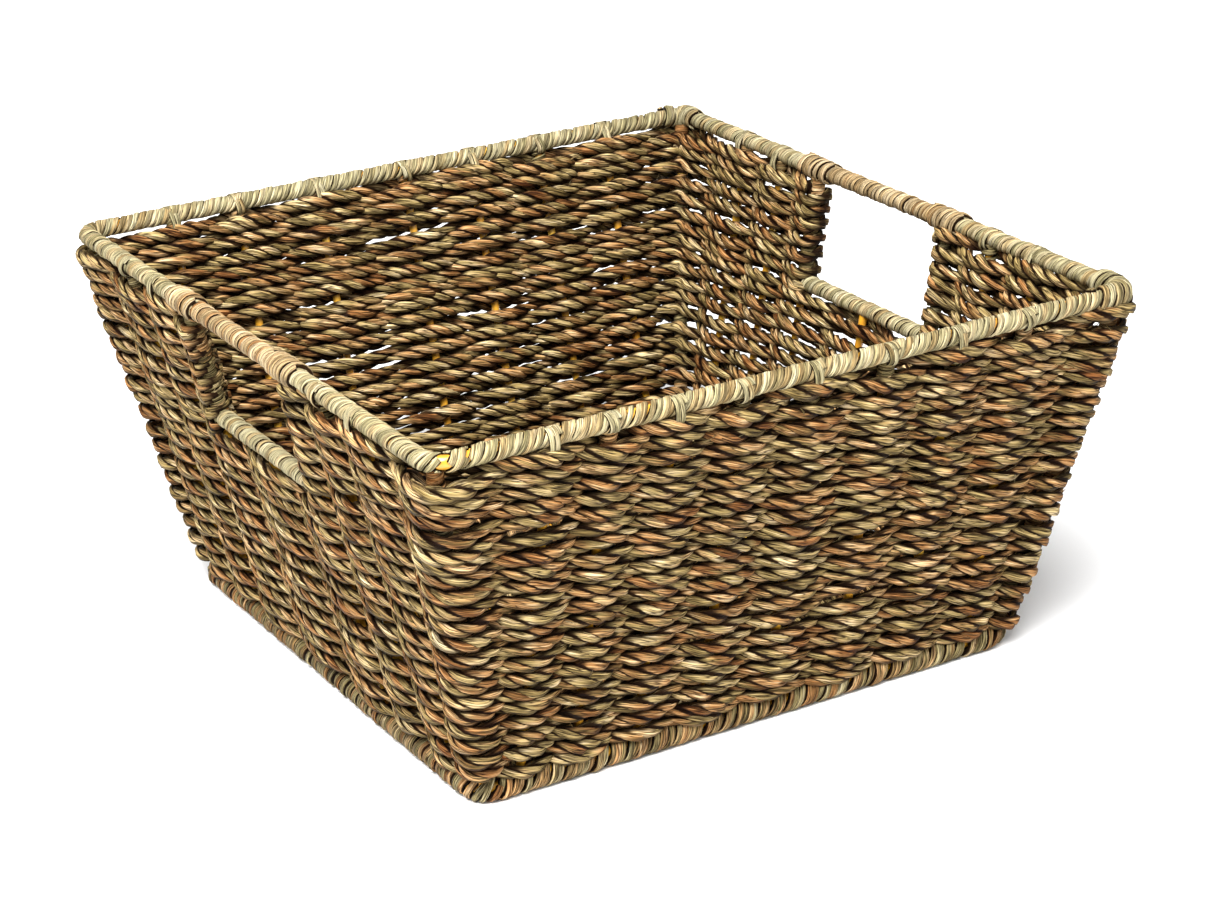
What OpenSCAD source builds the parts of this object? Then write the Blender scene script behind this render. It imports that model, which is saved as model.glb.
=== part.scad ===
/* [Rim] */
// Length of the rim wire across the basket, centre to centre
rim_x = 344; // [320:1:370]
// Length of the rim wire from front to back, centre to centre
rim_y = 372; // [348:1:400]
// Height of the rim wire's centre above the ground
rim_z = 178; // [150:1:210]
// Diameter of the rim wire
rim_wire_d = 6; // [5:0.5:7]
// Outer diameter of the strand wound on the rim wire
rim_wrap_d = 8.6; // [8:0.2:9.6]

/* [Base] */
// Length of the base wire across the basket, centre to centre
base_x = 276; // [260:1:300]
// Length of the base wire from front to back, centre to centre
base_y = 284; // [276:1:308]
// Diameter of the base wire
base_wire_d = 5; // [4.5:0.5:6]
// Outer diameter of the border wound on the base wire
base_wrap_d = 12.6; // [11:0.2:14]
// Depth of the flat that the border has worn flat against the ground
base_flat = 0.3; // [0.2:0.1:0.5]

/* [Frame] */
// Diameter of the upright wires and of the floor wires
stake_d = 4; // [3:0.5:4.5]
// Radius of the bends in the rim wire and the base wire
bend_r = 9; // [9:1:14]
// Spacing of the uprights on either side of a handle opening
side_stake_pitch = 34; // [30:0.5:35]

/* [Handles] */
// Distance between the uprights at the sides of a handle opening
handle_w = 108; // [100:1:112]
// Height of the sill under each handle opening
sill_z = 121; // [110:1:128]
// Diameter of the sill wire
sill_wire_d = 4; // [3:0.5:5]
// Outer diameter of the strand wound on the sill
sill_wrap_d = 8; // [7:0.2:8.6]
// Outer diameter of the strand wound on the rim over each handle opening
grip_wrap_d = 9.2; // [8.6:0.2:10]
// Outer diameter of the binding at each end of a grip
binding_d = 11.6; // [10:0.2:12.6]
// Length of the binding at each end of a grip
binding_l = 24; // [16:1:28]

/* [Weave] */
// Thickness of the woven walls
weave_t = 14; // [12:0.5:15]
// Thickness of the woven floor
floor_t = 10.4; // [9:0.2:11]
// Gap between the rim's winding and the top of the weave
top_gap = 3; // [2:0.5:6]
// Width of a tie that hangs the weave from the rim
tie_w = 5; // [3:0.5:7]
// Thickness of a tie
tie_t = 1.2; // [0.8:0.1:1.6]

/* [Hidden] */
$fn = 48;

amber = "goldenrod";
pale_straw = "darkkhaki";
tan_straw = "burlywood";
brown_straw = "peru";

// The base wire's height leaves the border's underside flat on the ground.
base_z = base_wrap_d / 2 - base_flat;
rise = rim_z - base_z;

// Each wall leans out from the base wire to the rim wire. Walls are numbered front, right, back, left.
FRONT = 0;
RIGHT = 1;
BACK = 2;
LEFT = 3;
function is_side(wall) = wall == RIGHT || wall == LEFT;
function low_reach(wall) = (is_side(wall) ? base_x : base_y) / 2;
function high_reach(wall) = (is_side(wall) ? rim_x : rim_y) / 2;
function lean(wall) = atan((high_reach(wall) - low_reach(wall)) / rise);
function slope(wall) = rise / cos(lean(wall));
// Half the length of the straight wires at the wall's foot and head, between the bends
function low_half(wall) = (is_side(wall) ? base_y : base_x) / 2 - bend_r;
function high_half(wall) = (is_side(wall) ? rim_y : rim_x) / 2 - bend_r;
// Half the width of the flat part of the wall, a distance w up its slope
function half_at(wall, w) = low_half(wall) + (high_half(wall) - low_half(wall)) * w / slope(wall);

// The line that the middle of the front left corner's bends follows, from foot to head
corner_foot = [-base_x / 2 + bend_r, -base_y / 2 + bend_r, base_z];
corner_head = [-rim_x / 2 + bend_r, -rim_y / 2 + bend_r, rim_z];
corner_line = corner_head - corner_foot;
corner_tilt = acos(corner_line.z / norm(corner_line));
corner_turn = atan2(corner_line.y, corner_line.x);

// Distances up a wall's slope: where the weave starts, where it ends, and the sill
foot_gap = 0.6;
function weave_foot(wall) = (base_wrap_d / 2 + foot_gap) / cos(lean(wall));
function weave_head(wall) = slope(wall) - rim_wrap_d / 2 - top_gap;
sill_w = (sill_z - base_z) / cos(lean(LEFT));
lower_head = sill_w - sill_wrap_d / 2;

// Half the clear width of a handle opening: the weave turns back just inside the uprights
edge_turn = 6;
clear_half = handle_w / 2 - edge_turn;
// Each binding is centred on an upright at the side of the opening.
grip_half = handle_w / 2 - binding_l / 2;
binding_end = handle_w / 2 + binding_l / 2;

// Longer than any cut has to reach past the solid that it trims
past = 60;

// The uprights were set by eye, so those of the front and back walls are unevenly spaced.
// These are shares of the half-length of the wall's foot, from one end to the other.
front_shares = [-0.92, -0.71, -0.47, -0.22, 0.05, 0.34, 0.62, 0.9];
// The back wall is listed from the basket's right to its left, and has one upright fewer
// than the front, so that a single rope can alternate from one round to the next.
back_shares = [-0.94, -0.63, -0.32, -0.02, 0.36, 0.7, 0.97];
side_places = [for (side = [-1, 1], i = [0 : 2]) side * (handle_w / 2 + i * side_stake_pitch)];
function stake_places(wall) =
    wall == FRONT ? front_shares * low_half(FRONT) :
    wall == BACK ? back_shares * low_half(BACK) :
    side_places;

// Moves to a wall's own frame: x along the wall, y inward through it and z up its slope.
// The origin is on the base wire's centre line.
module on_wall(wall) {
    rotate([0, 0, wall * 90])
        translate([0, -low_reach(wall), base_z])
            rotate([lean(wall), 0, 0])
                children();
}

// A rod along x, from one place to another, at a height in the wall's frame
module rod_along(from, to, d) {
    translate([from, 0, 0])
        rotate([0, 90, 0])
            cylinder(d = d, h = to - from);
}

module tube_along(from, to, d, bore_d) {
    difference() {
        rod_along(from, to, d);
        rod_along(from - 1, to + 1, bore_d);
    }
}

// A quarter bend of a rod or tube at the front left corner of a ring of wire
module corner_bend(half_x, half_y, d, bore_d = 0) {
    translate([-half_x + bend_r, -half_y + bend_r, 0])
        rotate([0, 0, 180])
            rotate_extrude(angle = 90)
                translate([bend_r, 0])
                    difference() {
                        circle(d = d);
                        if (bore_d > 0) circle(d = bore_d);
                    }
}

// Repeats what is drawn at the front left corner at all four corners
module at_corners() {
    for (mx = [0, 1], my = [0, 1])
        mirror([mx, 0, 0])
            mirror([0, my, 0])
                children();
}

module wire_ring(size_x, size_y, d) {
    at_corners() corner_bend(size_x / 2, size_y / 2, d);
    for (side = [-1, 1]) {
        translate([0, side * size_y / 2, 0])
            rod_along(-size_x / 2 + bend_r, size_x / 2 - bend_r, d);
        translate([side * size_x / 2, 0, 0])
            rotate([0, 0, 90])
                rod_along(-size_y / 2 + bend_r, size_y / 2 - bend_r, d);
    }
}

module rim_ring(d) {
    translate([0, 0, rim_z]) wire_ring(rim_x, rim_y, d);
}

module base_ring(d) {
    translate([0, 0, base_z]) wire_ring(base_x, base_y, d);
}

// The straight stretch of the rim wire or the base wire that bounds a wall
module rim_stretch(wall, d) {
    on_wall(wall)
        translate([0, 0, slope(wall)])
            rod_along(-high_half(wall), high_half(wall), d);
}

module base_stretch(wall, d) {
    on_wall(wall) rod_along(-low_half(wall), low_half(wall), d);
}

// Uprights as plain rods from the base wire's centre line to a height w up the slope
module upright_rods(wall, places, w) {
    on_wall(wall)
        for (u = places)
            translate([u, 0, 0])
                cylinder(d = stake_d, h = w);
}

module tall_rods(wall) {
    upright_rods(wall, stake_places(wall), slope(wall));
}

// The one short upright, under the middle of the sill
module short_rod(wall) {
    upright_rods(wall, [0], sill_w);
}

// The front left corner post as a plain rod, between the middles of the two bends
module post_rod() {
    translate(corner_foot - bend_r * [cos(45), sin(45), 0])
        rotate([0, corner_tilt, corner_turn])
            cylinder(d = stake_d, h = norm(corner_line));
}

module sill_rod(wall) {
    on_wall(wall)
        translate([0, 0, sill_w])
            rod_along(-handle_w / 2, handle_w / 2, sill_wire_d);
}

// Floor wires run from side to side: one from the foot of each tall upright to its opposite, and two
// that share the gap between the handle openings' uprights into three
module floor_rods() {
    for (y = concat(side_places, [-handle_w / 6, handle_w / 6]))
        translate([0, y, base_z])
            rod_along(-base_x / 2, base_x / 2, stake_d);
}

// ---- Wire frame ----

module rim_wire() {
    color(amber) rim_ring(rim_wire_d);
}

module base_wire() {
    color(amber) base_ring(base_wire_d);
}

module corner_post(mx, my) {
    color(amber)
        mirror([mx, 0, 0])
            mirror([0, my, 0])
                difference() {
                    post_rod();
                    translate([0, 0, rim_z]) corner_bend(rim_x / 2, rim_y / 2, rim_wire_d);
                    translate([0, 0, base_z]) corner_bend(base_x / 2, base_y / 2, base_wire_d);
                }
}

module wall_stakes(wall) {
    color(amber)
        difference() {
            tall_rods(wall);
            rim_stretch(wall, rim_wire_d);
            base_stretch(wall, base_wire_d);
        }
}

module sill_stake(wall) {
    color(amber)
        difference() {
            short_rod(wall);
            sill_rod(wall);
            base_stretch(wall, base_wire_d);
        }
}

module sill_wire(wall) {
    color(amber)
        difference() {
            sill_rod(wall);
            tall_rods(wall);
        }
}

module floor_wires() {
    color(amber)
        difference() {
            floor_rods();
            base_stretch(LEFT, base_wire_d);
            base_stretch(RIGHT, base_wire_d);
        }
}

// ---- Strands wound on the wires ----

// Winding on the rim wire between two places along a wall
module rim_winding(wall, from, to, d) {
    difference() {
        on_wall(wall)
            translate([0, 0, slope(wall)])
                tube_along(from, to, d, rim_wire_d);
        tall_rods(wall);
    }
}

module long_rim_wrap(wall) {
    color(pale_straw) rim_winding(wall, -high_half(wall), high_half(wall), rim_wrap_d);
}

// end is -1 or 1 along the wall, counted in the wall's own frame
module short_rim_wrap(wall, end) {
    color(pale_straw)
        if (end > 0) rim_winding(wall, binding_end, high_half(wall), rim_wrap_d);
        else rim_winding(wall, -high_half(wall), -binding_end, rim_wrap_d);
}

module corner_rim_wraps() {
    color(pale_straw)
        at_corners()
            difference() {
                translate([0, 0, rim_z])
                    corner_bend(rim_x / 2, rim_y / 2, rim_wrap_d, rim_wire_d);
                post_rod();
            }
}

module grip_wrap(wall) {
    color(tan_straw) rim_winding(wall, -grip_half, grip_half, grip_wrap_d);
}

module grip_bindings(wall) {
    color(tan_straw) {
        rim_winding(wall, -binding_end, -grip_half, binding_d);
        rim_winding(wall, grip_half, binding_end, binding_d);
    }
}

module sill_wrap(wall) {
    color(pale_straw)
        difference() {
            on_wall(wall)
                translate([0, 0, sill_w])
                    tube_along(-clear_half, clear_half, sill_wrap_d, sill_wire_d);
            short_rod(wall);
        }
}

// Everything above the ground
module above_ground() {
    translate([-rim_x, -rim_y, 0]) cube([2 * rim_x, 2 * rim_y, 2 * rim_z]);
}

module base_wrap(wall) {
    color(brown_straw)
        difference() {
            intersection() {
                on_wall(wall)
                    tube_along(-low_half(wall), low_half(wall), base_wrap_d, base_wire_d);
                above_ground();
            }
            tall_rods(wall);
            if (is_side(wall)) short_rod(wall);
            if (is_side(wall)) floor_rods();
        }
}

module corner_base_wraps() {
    color(brown_straw)
        at_corners()
            difference() {
                intersection() {
                    translate([0, 0, base_z])
                        corner_bend(base_x / 2, base_y / 2, base_wrap_d, base_wire_d);
                    above_ground();
                }
                post_rod();
            }
}

// ---- Ties from the rim down to the weave ----

// Ties at these places along a wall: each is a band over the rim with two legs that stand on the weave
module rim_ties(wall) {
    leg = rim_wrap_d / 2 + top_gap;
    color(pale_straw)
        on_wall(wall)
            for (u = stake_places(wall))
                translate([u - tie_w / 2, 0, slope(wall)])
                    rotate([90, 0, 90])
                        linear_extrude(tie_w)
                            difference() {
                                tie_outline(rim_wrap_d + 2 * tie_t, leg);
                                tie_outline(rim_wrap_d, leg + 1);
                            }
}

module tie_outline(d, leg) {
    circle(d = d);
    translate([-d / 2, -leg]) square([d, leg]);
}

// ---- Woven walls and floor ----

// A flat part of a wall between two distances up its slope, from place u_from to the corner
// when u_from is set, and otherwise from corner to corner
module wall_panel(wall, w_low, w_high, u_from = undef) {
    low = half_at(wall, w_low);
    high = half_at(wall, w_high);
    start_low = is_undef(u_from) ? -low : u_from;
    start_high = is_undef(u_from) ? -high : u_from;
    rotate([90, 0, 0])
        linear_extrude(weave_t, center = true)
            polygon([[start_low, w_low], [low, w_low], [high, w_high], [start_high, w_high]]);
}

module long_weave(wall) {
    color(tan_straw)
        difference() {
            on_wall(wall) wall_panel(wall, weave_foot(wall), weave_head(wall));
            tall_rods(wall);
        }
}

module lower_weave(wall) {
    color(tan_straw)
        difference() {
            on_wall(wall) wall_panel(wall, weave_foot(wall), lower_head);
            tall_rods(wall);
            short_rod(wall);
        }
}

// The stretch of a side wall beside its handle opening; end is -1 or 1 in the wall's own frame
module upper_weave(wall, end) {
    color(tan_straw)
        difference() {
            on_wall(wall)
                mirror([end > 0 ? 0 : 1, 0, 0])
                    wall_panel(wall, lower_head, weave_head(wall), clear_half);
            tall_rods(wall);
            sill_rod(wall);
        }
}

// A vector's two parts across the corner's line
function across(v) = [
    v * [cos(corner_tilt) * cos(corner_turn), cos(corner_tilt) * sin(corner_turn), -sin(corner_tilt)],
    v * [-sin(corner_turn), cos(corner_turn), 0]
];

// The half of the section that lies past the end of a wall's panel. The panel ends at a point
// that is end_offset from the corner's line, and its outward normal is wall_normal.
module past_panel(end_offset, wall_normal, side) {
    out = across(wall_normal);
    translate(across(end_offset))
        rotate(atan2(out.y, out.x))
            translate([-past, side > 0 ? 0 : -past])
                square([2 * past, past]);
}

// The section of the weave's turn round the front left corner post
module corner_section() {
    turn_r = bend_r * cos(lean(FRONT));
    difference() {
        intersection() {
            circle(r = turn_r + weave_t / 2);
            past_panel([0, -bend_r, 0], [0, -cos(lean(FRONT)), -sin(lean(FRONT))], -1);
            past_panel([-bend_r, 0, 0], [-cos(lean(LEFT)), 0, -sin(lean(LEFT))], 1);
        }
        circle(r = turn_r - weave_t / 2);
        translate(across(-bend_r * [cos(45), sin(45), 0])) circle(d = stake_d);
    }
}

module weave_corner(mx, my) {
    foot_z = base_z + weave_foot(FRONT) * cos(lean(FRONT));
    head_z = base_z + weave_head(FRONT) * cos(lean(FRONT));
    color(tan_straw)
        mirror([mx, 0, 0])
            mirror([0, my, 0])
                intersection() {
                    translate(corner_foot)
                        rotate([0, corner_tilt, corner_turn])
                            translate([0, 0, -past])
                                linear_extrude(norm(corner_line) + 2 * past)
                                    corner_section();
                    translate([-rim_x, -rim_y, foot_z])
                        cube([rim_x, rim_y, head_z - foot_z]);
                }
}

module floor_weave() {
    half_x = (base_x - base_wrap_d) / 2;
    half_y = (base_y - base_wrap_d) / 2;
    r = bend_r - base_wrap_d / 2;
    color(tan_straw)
        difference() {
            translate([0, 0, base_z - floor_t / 2])
                linear_extrude(floor_t) {
                    square([2 * half_x, 2 * (half_y - r)], center = true);
                    square([2 * (half_x - r), 2 * half_y], center = true);
                    for (sx = [-1, 1], sy = [-1, 1])
                        translate([sx * (half_x - r), sy * (half_y - r)])
                            circle(r = r);
                }
            floor_rods();
        }
}

rim_wire();
base_wire();
corner_post(0, 0);  // front_left_post
corner_post(1, 0);  // front_right_post
corner_post(0, 1);  // back_left_post
corner_post(1, 1);  // back_right_post
wall_stakes(FRONT);  // front_stakes
wall_stakes(BACK);  // back_stakes
wall_stakes(LEFT);  // left_stakes
wall_stakes(RIGHT);  // right_stakes
sill_stake(LEFT);  // left_sill_stake
sill_stake(RIGHT);  // right_sill_stake
sill_wire(LEFT);  // left_sill_wire
sill_wire(RIGHT);  // right_sill_wire
floor_wires();
long_rim_wrap(FRONT);  // front_rim_wrap
long_rim_wrap(BACK);  // back_rim_wrap
short_rim_wrap(LEFT, 1);  // left_front_rim_wrap
short_rim_wrap(LEFT, -1);  // left_back_rim_wrap
short_rim_wrap(RIGHT, -1);  // right_front_rim_wrap
short_rim_wrap(RIGHT, 1);  // right_back_rim_wrap
corner_rim_wraps();
grip_wrap(LEFT);  // left_grip_wrap
grip_wrap(RIGHT);  // right_grip_wrap
grip_bindings(LEFT);  // left_grip_bindings
grip_bindings(RIGHT);  // right_grip_bindings
sill_wrap(LEFT);  // left_sill_wrap
sill_wrap(RIGHT);  // right_sill_wrap
base_wrap(FRONT);  // front_base_wrap
base_wrap(BACK);  // back_base_wrap
base_wrap(LEFT);  // left_base_wrap
base_wrap(RIGHT);  // right_base_wrap
corner_base_wraps();
rim_ties(FRONT);  // front_rim_ties
rim_ties(BACK);  // back_rim_ties
rim_ties(LEFT);  // left_rim_ties
rim_ties(RIGHT);  // right_rim_ties
long_weave(FRONT);  // front_weave
long_weave(BACK);  // back_weave
lower_weave(LEFT);  // left_lower_weave
lower_weave(RIGHT);  // right_lower_weave
upper_weave(LEFT, 1);  // left_front_weave
upper_weave(LEFT, -1);  // left_back_weave
upper_weave(RIGHT, -1);  // right_front_weave
upper_weave(RIGHT, 1);  // right_back_weave
weave_corner(0, 0);  // front_left_weave_corner
weave_corner(1, 0);  // front_right_weave_corner
weave_corner(0, 1);  // back_left_weave_corner
weave_corner(1, 1);  // back_right_weave_corner
floor_weave();
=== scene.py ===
import math

import bpy
import numpy as np
from mathutils import Matrix, Vector


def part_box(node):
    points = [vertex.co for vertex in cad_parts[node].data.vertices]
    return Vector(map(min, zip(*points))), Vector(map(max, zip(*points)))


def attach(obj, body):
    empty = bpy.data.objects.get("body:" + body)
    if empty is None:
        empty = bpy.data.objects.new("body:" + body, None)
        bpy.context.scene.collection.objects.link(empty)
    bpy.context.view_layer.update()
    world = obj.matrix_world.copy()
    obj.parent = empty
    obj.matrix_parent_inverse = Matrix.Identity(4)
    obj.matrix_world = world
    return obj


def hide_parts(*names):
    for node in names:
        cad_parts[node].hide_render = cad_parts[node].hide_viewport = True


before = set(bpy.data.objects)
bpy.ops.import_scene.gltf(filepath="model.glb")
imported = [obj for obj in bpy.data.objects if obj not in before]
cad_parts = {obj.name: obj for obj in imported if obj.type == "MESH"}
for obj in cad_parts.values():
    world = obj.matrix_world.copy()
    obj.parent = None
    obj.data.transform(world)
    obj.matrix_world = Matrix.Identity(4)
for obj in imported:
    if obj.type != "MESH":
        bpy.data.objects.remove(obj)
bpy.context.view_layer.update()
rng = np.random.default_rng(532)
MM = 0.001
X, Y, Z = 0, 1, 2
# Uprights of one wall stand further apart than this.
STAKE_GAP = 5 * MM


# ---- The frame's sizes and places, taken from the CAD ----


def middle(node, axis):
    low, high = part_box(node)
    return (low[axis] + high[axis]) / 2


def extent(node, axis):
    low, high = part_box(node)
    return high[axis] - low[axis]


def places(node, axis):
    """Where each upright of a node stands along its wall, in rising order."""
    at = np.sort([v.co[axis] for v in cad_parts[node].data.vertices])
    groups = np.split(at, np.nonzero(np.diff(at) > STAKE_GAP)[0] + 1)
    return [(g[0] + g[-1]) / 2 for g in groups]


WIRE_R = extent("rim_wire", Z) / 2
RIM_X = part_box("rim_wire")[1].x - WIRE_R
RIM_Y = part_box("rim_wire")[1].y - WIRE_R
RIM_Z = middle("rim_wire", Z)
BASE_WIRE_R = extent("base_wire", Z) / 2
BASE_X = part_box("base_wire")[1].x - BASE_WIRE_R
BASE_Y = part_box("base_wire")[1].y - BASE_WIRE_R
BASE_Z = middle("base_wire", Z)
BEND_R = RIM_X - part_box("front_rim_wrap")[1].x
STAKE_R = extent("left_sill_stake", Y) / 2
RIM_WRAP_R = extent("front_rim_wrap", Z) / 2
GRIP_R = extent("right_grip_wrap", Z) / 2
GRIP_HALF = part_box("right_grip_wrap")[1].y
BINDING_R = extent("right_grip_bindings", Z) / 2
BINDING_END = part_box("right_grip_bindings")[1].y
SILL_R = extent("right_sill_wrap", Z) / 2
SILL_X = middle("right_sill_wrap", X)
SILL_Z = middle("right_sill_wrap", Z)
BORDER_R = extent("left_base_wrap", X) / 2
WEAVE_LOW, WEAVE_HIGH = (corner.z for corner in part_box("front_left_weave_corner"))
LEAN_X = (RIM_X - BASE_X) / (RIM_Z - BASE_Z)
LEAN_Y = (RIM_Y - BASE_Y) / (RIM_Z - BASE_Z)
ARC = BEND_R * math.pi / 2

FRONT_PLACES = places("front_stakes", X)
BACK_PLACES = places("back_stakes", X)
TALL_SIDE_PLACES = places("right_stakes", Y)
SILL_PLACE = 0.0
SIDE_PLACES = sorted(TALL_SIDE_PLACES + [SILL_PLACE])
FLOOR_PLACES = places("floor_wires", Y)
EDGE_Y = min(y for y in TALL_SIDE_PLACES if y > 0)


# ---- The basket's outline at any height ----


def core_halves(z):
    """Half the straight length of the outline's front and side at a height."""
    up = z - BASE_Z
    return BASE_X - BEND_R + LEAN_X * up, BASE_Y - BEND_R + LEAN_Y * up


def column_terms():
    """Each upright in turn round the basket, as how far round the outline it stands: so many half
    fronts, so many half sides, and a length."""
    rows = [(1, 0, x) for x in FRONT_PLACES] + [(2, 0, ARC / 2)]
    rows += [(2, 1, ARC + y) for y in SIDE_PLACES] + [(2, 2, 1.5 * ARC)]
    rows += [(3, 2, 2 * ARC - x) for x in reversed(BACK_PLACES)] + [(4, 2, 2.5 * ARC)]
    rows += [(4, 3, 3 * ARC - y) for y in reversed(SIDE_PLACES)] + [(4, 4, 3.5 * ARC)]
    return np.array(rows)


COLUMNS = column_terms()
ROUND = len(COLUMNS)


def along_outline(column, z):
    """How far round the outline a place is, given as a number of columns with a fraction."""
    hx, hy = core_halves(z)
    whole = np.floor(column).astype(int)

    def at(index):
        turns, place = np.divmod(index, ROUND)
        fronts, sides, length = COLUMNS[place].T
        return (fronts + 4 * turns) * hx + (sides + 4 * turns) * hy + length + 4 * ARC * turns

    part = column - whole
    return at(whole) * (1 - part) + at(whole + 1) * part


def rounded_rectangle(s, hx, hy):
    """x, y and the outward angle at distance s round a rectangle with bent corners, whose straight
    lengths are 2 hx and 2 hy."""
    arc = ARC + 0 * hx
    ends = np.cumsum(np.stack([2 * hx, arc, 2 * hy, arc, 2 * hx, arc, 2 * hy]), axis=0)
    s = np.mod(s, ends[-1] + ARC)
    inside = [s < e for e in ends]
    x = np.select(inside, [s - hx, hx, hx, hx, hx - (s - ends[3]), -hx, -hx], -hx)
    y = np.select(inside, [-hy, -hy, s - ends[1] - hy, hy, hy, hy, hy - (s - ends[5])], -hy)
    bent = [0 * s, s - ends[0], arc, arc + s - ends[2], 2 * arc, 2 * arc + s - ends[4], 3 * arc]
    angle = np.select(inside, bent, 3 * arc + s - ends[6]) / BEND_R - math.pi / 2
    return x + BEND_R * np.cos(angle), y + BEND_R * np.sin(angle), angle


def outline(s, z):
    """Points at distance s round the outline, and the wall's outward and upward directions."""
    x, y, angle = rounded_rectangle(s, *core_halves(z))
    nx, ny = np.cos(angle), np.sin(angle)
    slope = np.abs(nx) * LEAN_X + np.abs(ny) * LEAN_Y
    scale = 1 / np.sqrt(1 + slope**2)
    point = np.stack([x, y, z + 0 * x], -1)
    normal = np.stack([nx, ny, -slope], -1) * scale[:, None]
    upward = np.stack([nx * slope, ny * slope, 1 + 0 * nx], -1) * scale[:, None]
    return point, normal, upward


# ---- Paths ----


def unit(v):
    return v / np.linalg.norm(v, axis=-1, keepdims=True)


def distance_along(points):
    return np.concatenate([[0], np.cumsum(np.linalg.norm(np.diff(points, axis=0), axis=1))])


def running_total(s, rate):
    """How much has gone by at each distance, at a rate that changes along the way."""
    return np.concatenate([[0], np.cumsum(np.diff(s) * (rate[1:] + rate[:-1]) / 2)])


def resample(step, points, *others):
    """The path at even steps, and whatever else is known along it at the same places."""
    s = distance_along(points)
    t = np.linspace(0, s[-1], max(3, round(s[-1] / step) + 1))

    def at(values):
        if values.ndim == 1:
            return np.interp(t, s, values)
        return np.stack([np.interp(t, s, c) for c in values.T], -1)

    return [t, at(points)] + [at(o) for o in others]


def ease(part):
    return part * part * (3 - 2 * part)


def drift(s, length, low, high):
    """A value that wanders along a rope, about the same over each length."""
    knots = rng.uniform(low, high, int(s[-1] / length) + 3)
    whole = (s / length).astype(int)
    part = ease(s / length - whole)
    return knots[whole] * (1 - part) + knots[whole + 1] * part


def smooth(value, low, high):
    """0 below low, 1 above high and an easy rise between them."""
    return ease(np.clip((value - low) / (high - low), 0, 1))


# ---- Strands as meshes ----

# How far a leaf and a crease stand out: the length over which it drifts, and between which shares.
LEAF_STANDS = (12 * MM, 0.97, 1.10)
CREASE_STANDS = (12 * MM, 0.82, 0.97)
# Painted shade along the creases: how much painted light the leaf corners and the crease corners of
# a strand keep.
LEAF_PAINTED_LIGHT = 1.0
CREASE_PAINTED_LIGHT = 0.8
PATCH = 14 * MM
TONE_PATCHES = (1.5, 0.5)
HUE_PATCHES = 1.7
GRAIN_STARTS = 40


def leaf_ridges(s, sides):
    """How far each corner of a strand's section stands out: leaves at the odd corners, creases at
    the even ones."""
    stands = [drift(s, *(LEAF_STANDS if j % 2 else CREASE_STANDS)) for j in range(sides)]
    return np.stack(stands, -1)


def tube(path, radial, across, half_thick, half_wide, s, sides, lump=0.04, patch=PATCH, facing=0.0):
    """Rings round a path. Each ring is half_thick along radial and half_wide along across, and lump
    is its roughness. patch is the length of a stretch of one colour, and facing is the angle from
    radial to the strand's open side. The grain is where a point lies on the strand: along it, and
    round it from radial."""
    n = len(path)
    theta = np.linspace(0, 2 * math.pi, sides, endpoint=False)
    cos, sin = np.cos(theta), np.sin(theta)
    ridge = leaf_ridges(s, sides) + rng.uniform(-lump, lump, (n, sides))
    high = ((half_thick * np.ones(n))[:, None] * ridge * cos)[..., None] * radial[:, None]
    wide = ((half_wide * np.ones(n))[:, None] * ridge * sin)[..., None] * across[:, None]
    start = rng.uniform(0, GRAIN_STARTS)
    along = np.repeat((s + start)[:, None], sides, 1)
    grain = np.stack([along, np.tile(cos, (n, 1)), np.tile(sin, (n, 1))], -1)
    tone = np.mean([drift(s, share * patch, 0, 1) for share in TONE_PATCHES], axis=0)
    hue = drift(s, HUE_PATCHES * patch, 0, 1)
    return {
        "rings": path[:, None] + high + wide,
        "grain": grain,
        "tone": np.repeat(tone[:, None], sides, 1),
        "hue": np.repeat(hue[:, None], sides, 1),
        "side": np.cos(theta - (facing * np.ones(n))[:, None]),
        # Painted shade: the crease corners of each ring start darker than the leaf corners.
        "open": np.tile(np.where(np.arange(sides) % 2, LEAF_PAINTED_LIGHT, CREASE_PAINTED_LIGHT), (n, 1)),
    }


def cut(strand, first, last):
    """The part of a strand between two of its rings."""
    return {k: v[first : last + 1] for k, v in strand.items()}


def closed_faces(count, sides):
    """Faces of a capped tube: quads, then the two caps."""
    ring = np.arange(count - 1)[:, None] * sides
    j = np.arange(sides)
    k = (j + 1) % sides
    quads = np.stack([ring + j, ring + k, ring + sides + k, ring + sides + j], -1).reshape(-1, 4)
    caps = np.stack([j[::-1], (count - 1) * sides + j])
    return quads, caps


def faces_of(strands):
    """Corners of every face of a number of tubes, and where each face's corners start."""
    corners, starts, base, offset = [], [], 0, 0
    for strand in strands:
        count, sides = strand["rings"].shape[:2]
        quads, caps = closed_faces(count, sides)
        corners += [(quads + base).ravel(), (caps + base).ravel()]
        starts += [offset + 4 * np.arange(len(quads)), offset + quads.size + sides * np.arange(2)]
        base += count * sides
        offset += quads.size + caps.size
    return np.concatenate(corners), np.concatenate(starts)


def crease_leaves(mesh, strands):
    """Sharp edges along the creases between the leaves of each strand."""
    rings = [strand["rings"].shape[:2] for strand in strands]
    corner = np.concatenate([np.tile(np.arange(sides), count) for count, sides in rings])
    ends = np.empty(2 * len(mesh.edges), np.int32)
    mesh.edges.foreach_get("vertices", ends)
    a, b = corner[ends.reshape(-1, 2)].T
    sharp = mesh.attributes.new("sharp_edge", "BOOLEAN", "EDGE")
    sharp.data.foreach_set("value", (a == b) & (a % 2 == 0))


# What a material reads at each vertex.
ATTRIBUTES = (
    ("grain", "FLOAT_VECTOR", "vector"),
    ("tone", "FLOAT", "value"),
    ("hue", "FLOAT", "value"),
    # side and open carry the painted shade to the material.
    ("side", "FLOAT", "value"),
    ("open", "FLOAT", "value"),
)


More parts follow.
